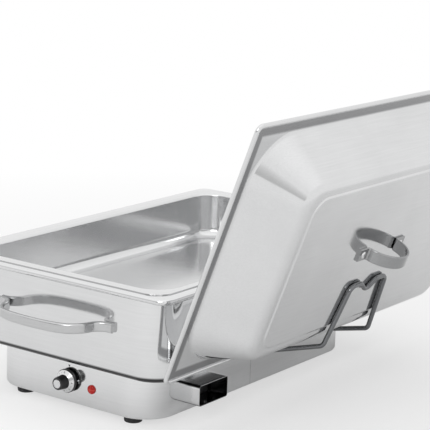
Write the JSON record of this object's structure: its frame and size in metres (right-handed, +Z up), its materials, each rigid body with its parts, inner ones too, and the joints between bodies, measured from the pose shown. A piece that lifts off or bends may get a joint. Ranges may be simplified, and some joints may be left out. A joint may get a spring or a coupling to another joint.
{
  "type": "electric chafing dish",
  "caption": "Countertop electric chafing dish: water-bath pan on a heated base, gastronorm food pan, bow handles, thermostat knob and a domed lift-off lid parked in a wire holder.",
  "frame": {"origin": "on the surface it stands on, under the middle of the whole with the lid parked", "axes": "+X from the dish towards the lid holder, +Y from the control end to the rear, +Z up"},
  "size_m": [0.5188, 0.6192, 0.4004],
  "materials": {
    "steel": "satin to polished stainless sheet",
    "pan_steel": "bright drawn stainless sheet",
    "handle": "polished",
    "wire": "dark polished wire",
    "rubber": "matt",
    "fastener": "zinc plated or plain",
    "alloy": "mill",
    "element": "heat dulled",
    "black": "fine texture",
    "silver": "bright",
    "lens": "clear red"
  },
  "bodies": {
    "dish": {"base_front": "steel", "base_rear": "steel", "seam_straps": "steel", "base_plate": "steel", "rubber_feet": "rubber", "foot_screws": "fastener", "foot_nuts": "fastener", "water_pan": "steel", "pan_studs": "fastener", "pan_nuts": "fastener", "heat_spreader": "alloy", "heating_element": "element", "clamp_bars": "steel", "clamp_studs": "fastener", "clamp_nuts": "fastener", "thermal_cutout": "element", "thermostat": "element", "thermostat_screws": "fastener", "thermostat_bulb": "fastener", "lamp_lens": "lens", "lamp_body": "black", "inlet_shroud": "steel", "inlet_socket": "black", "inlet_pins": "silver", "inlet_screws": "fastener", "front_handle": "handle", "rear_handle": "handle", "handle_screws": "fastener", "handle_washers": "rubber", "holder_brackets": "steel"},
    "knob": {"thermostat_shaft": "fastener", "knob": "black", "dial_face": "silver", "knob_cap": "silver"},
    "food_pan": {"food_pan": "pan_steel"},
    "holder": {"lid_holder": "wire"},
    "lid": {"lid_shell": "steel", "lid_handle": "handle", "lid_rivets": "fastener"}
  },
  "joints": [
    {"name": "knob_turn", "type": "hinge", "parent": "dish", "child": "knob", "pos_m": [-0.0824, -0.2335, 0.0375], "axis": [0, 1, 0], "range_deg": [0, 270]},
    {"name": "pan_lift", "type": "slide", "parent": "dish", "child": "food_pan", "axis": [0, 0, 1], "range_m": [0, 0.15]},
    {"name": "holder_lift", "type": "slide", "parent": "dish", "child": "holder", "axis": [0, 0, 1], "range_m": [0, 0.024]},
    {"name": "lid_draw", "type": "slide", "parent": "holder", "child": "lid", "axis": [0.3502, 0, 0.9367], "range_m": [0, 0.2]}
  ]
}
